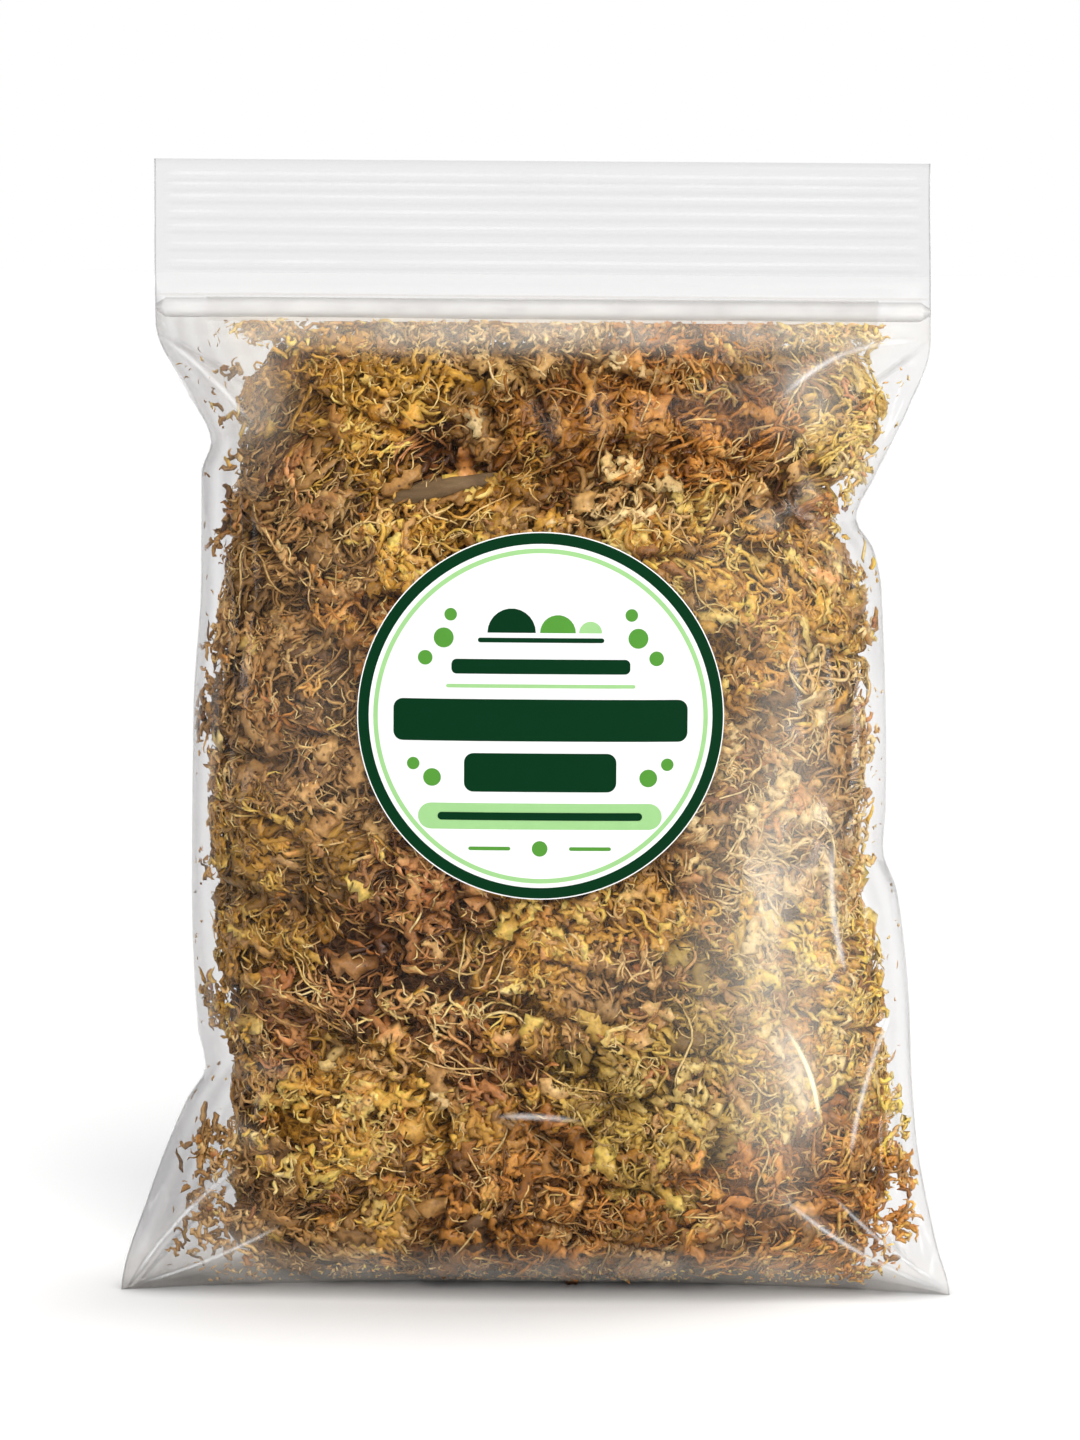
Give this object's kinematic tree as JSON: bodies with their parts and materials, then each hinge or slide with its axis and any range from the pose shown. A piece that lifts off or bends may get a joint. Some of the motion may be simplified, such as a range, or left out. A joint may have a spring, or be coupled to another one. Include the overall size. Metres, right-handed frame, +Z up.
{
  "type": "zip bag of dried sphagnum moss",
  "caption": "Clear press-to-close bag packed with dried long-fibre sphagnum moss, standing on its base, with a round label on the front.",
  "frame": {"origin": "on the ground under the middle of the bag", "axes": "+Z up from the base to the lips, +X to the right along the bag's width, -Y towards the front with the label"},
  "size_m": [0.1632, 0.0535, 0.221],
  "materials": {
    "film": "clear, glossy and slightly milky",
    "zip": "clear, glossy",
    "label": "printed paper film, satin",
    "moss_olive": "dry, matt, fibrous",
    "moss_straw": "dry, matt, fibrous",
    "moss_rust": "dry, matt, fibrous",
    "moss_brown": "dry, matt, fibrous",
    "moss_gold": "dry, matt, fibrous",
    "moss_green": "dry, matt, fibrous",
    "moss_dark": "dry, matt, fibrous"
  },
  "bodies": {
    "root": {"bag_film": "film", "zip_rib_strip": "zip", "zip_channel_strip": "zip", "front_label": "label", "moss_straw_crown": "moss_straw", "moss_olive_top_left": "moss_olive", "moss_rust_top": "moss_rust", "moss_rust_top_right": "moss_rust", "moss_green_top_right": "moss_green", "moss_brown_upper_left": "moss_brown", "moss_olive_upper_middle": "moss_olive", "moss_gold_upper_right": "moss_gold", "moss_brown_left": "moss_brown", "moss_brown_behind_label": "moss_brown", "moss_straw_right": "moss_straw", "moss_olive_left": "moss_olive", "moss_dark_lower_left": "moss_dark", "moss_olive_lower_middle": "moss_olive", "moss_gold_lower_left": "moss_gold", "moss_green_lower_middle": "moss_green", "moss_gold_lower_right": "moss_gold", "moss_brown_bottom_left": "moss_brown", "moss_rust_bottom": "moss_rust", "moss_rust_bottom_right": "moss_rust", "moss_brown_back_top": "moss_brown", "moss_straw_back_top": "moss_straw", "moss_rust_back_left": "moss_rust", "moss_brown_back_right": "moss_brown", "moss_gold_back_bottom": "moss_gold", "moss_brown_back_bottom": "moss_brown"}
  },
  "joints": []
}
